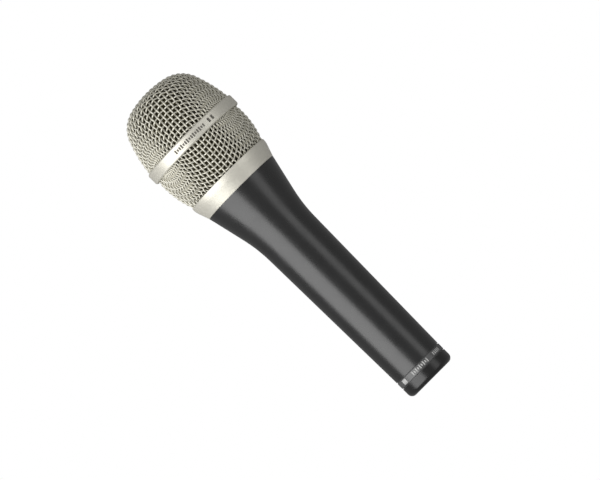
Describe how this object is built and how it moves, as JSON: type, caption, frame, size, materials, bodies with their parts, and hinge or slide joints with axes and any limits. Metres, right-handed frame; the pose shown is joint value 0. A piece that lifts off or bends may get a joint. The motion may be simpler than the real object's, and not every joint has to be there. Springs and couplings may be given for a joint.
{
  "type": "dynamic microphone",
  "caption": "Handheld dynamic vocal microphone with a woven wire grille that unscrews, a flared metal handle, a shock-mounted moving-coil capsule and a male connector in the tail.",
  "frame": {"origin": "centre of the tail face, which the microphone stands on", "axes": "+Z along the microphone's axis from the tail to the head, +Y towards the connector's latch notch"},
  "size_m": [0.0528, 0.0528, 0.1852],
  "materials": {
    "handle_paint": "satin, fine powder texture",
    "ring_paint": "satin",
    "cap_plastic": "semi-gloss",
    "plated_metal": "bright nickel plate",
    "insulator_plastic": "moulded",
    "contact_plating": "gold plate",
    "tinned_metal": "tin plate",
    "screw_steel": "blackened",
    "red_wire": "insulated wire",
    "black_wire": "insulated wire",
    "green_wire": "insulated wire",
    "mount_rubber": "moulded rubber",
    "machined_alloy": "turned",
    "chamber_plastic": "moulded",
    "felt": "pressed felt",
    "board": "circuit board",
    "yoke_steel": "zinc plate",
    "magnet_alloy": "nickel plated magnet",
    "port_silk": "fine woven silk",
    "cap_film_plastic": "moulded",
    "front_silk": "fine woven silk",
    "film": "thin polyester film",
    "coil_wire": "copper-clad wire with clear enamel",
    "satin_nickel": "satin champagne nickel",
    "grille_wire": "woven wire, satin nickel",
    "foam": "open-cell foam"
  },
  "bodies": {
    "handle": {"handle_shell": "handle_paint", "neck_ring": "machined_alloy", "id_ring": "ring_paint", "end_cap": "cap_plastic", "connector_shell": "plated_metal", "connector_insulator": "insulator_plastic", "contact_1": "contact_plating", "contact_2": "contact_plating", "contact_3": "contact_plating", "ground_spring": "contact_plating", "ground_tag": "tinned_metal", "set_screw": "screw_steel", "lead_hot": "red_wire", "lead_cold": "black_wire", "lead_ground": "green_wire", "shock_mount": "mount_rubber", "mount_ring": "machined_alloy"},
    "capsule": {"rear_chamber": "chamber_plastic", "chamber_felt": "felt", "terminal_board": "board", "terminal_hot": "tinned_metal", "terminal_cold": "tinned_metal", "magnet_cup": "yoke_steel", "magnet": "magnet_alloy", "pole_disc": "yoke_steel", "pole_ring": "yoke_steel", "capsule_frame": "machined_alloy", "rear_port_cloth": "port_silk", "resonator_cap": "cap_film_plastic", "front_cloth": "front_silk"},
    "moving_coil": {"diaphragm": "film", "voice_coil": "coil_wire"},
    "upper_liner": {"upper_foam": "foam"},
    "lower_liner": {"lower_foam": "foam"},
    "grille_head": {"collar": "satin_nickel", "lower_basket": "grille_wire", "mid_band": "satin_nickel", "upper_basket": "grille_wire"}
  },
  "joints": [
    {"name": "head_pull_off", "type": "slide", "parent": "handle", "child": "upper_liner", "axis": [0, 0, 1], "range_m": [0, 0.07]},
    {"name": "head_rise", "type": "slide", "parent": "upper_liner", "child": "lower_liner", "axis": [0, 0, 1], "range_m": [0, 0.004]},
    {"name": "head_turn", "type": "hinge", "parent": "lower_liner", "child": "grille_head", "pos_m": [0, 0, 0], "axis": [0, 0, 1], "range_deg": [0, 1440]},
    {"name": "capsule_float", "type": "slide", "parent": "handle", "child": "capsule", "axis": [0, 0, 1], "range_m": [-0.0008, 0.0008], "stiffness_N_per_m": 1480, "springref_m": 0.00028, "deforming": ["shock_mount", "lead_hot", "lead_cold"]},
    {"name": "coil_stroke", "type": "slide", "parent": "capsule", "child": "moving_coil", "axis": [0, 0, 1], "range_m": [-0.0003, 0.0003], "stiffness_N_per_m": 133, "springref_m": 0.00004, "deforming": ["diaphragm"]}
  ],
  "couplings": [
    {"joint": "head_rise", "follows": "head_turn", "m_per_rad": 0.00015915}
  ]
}
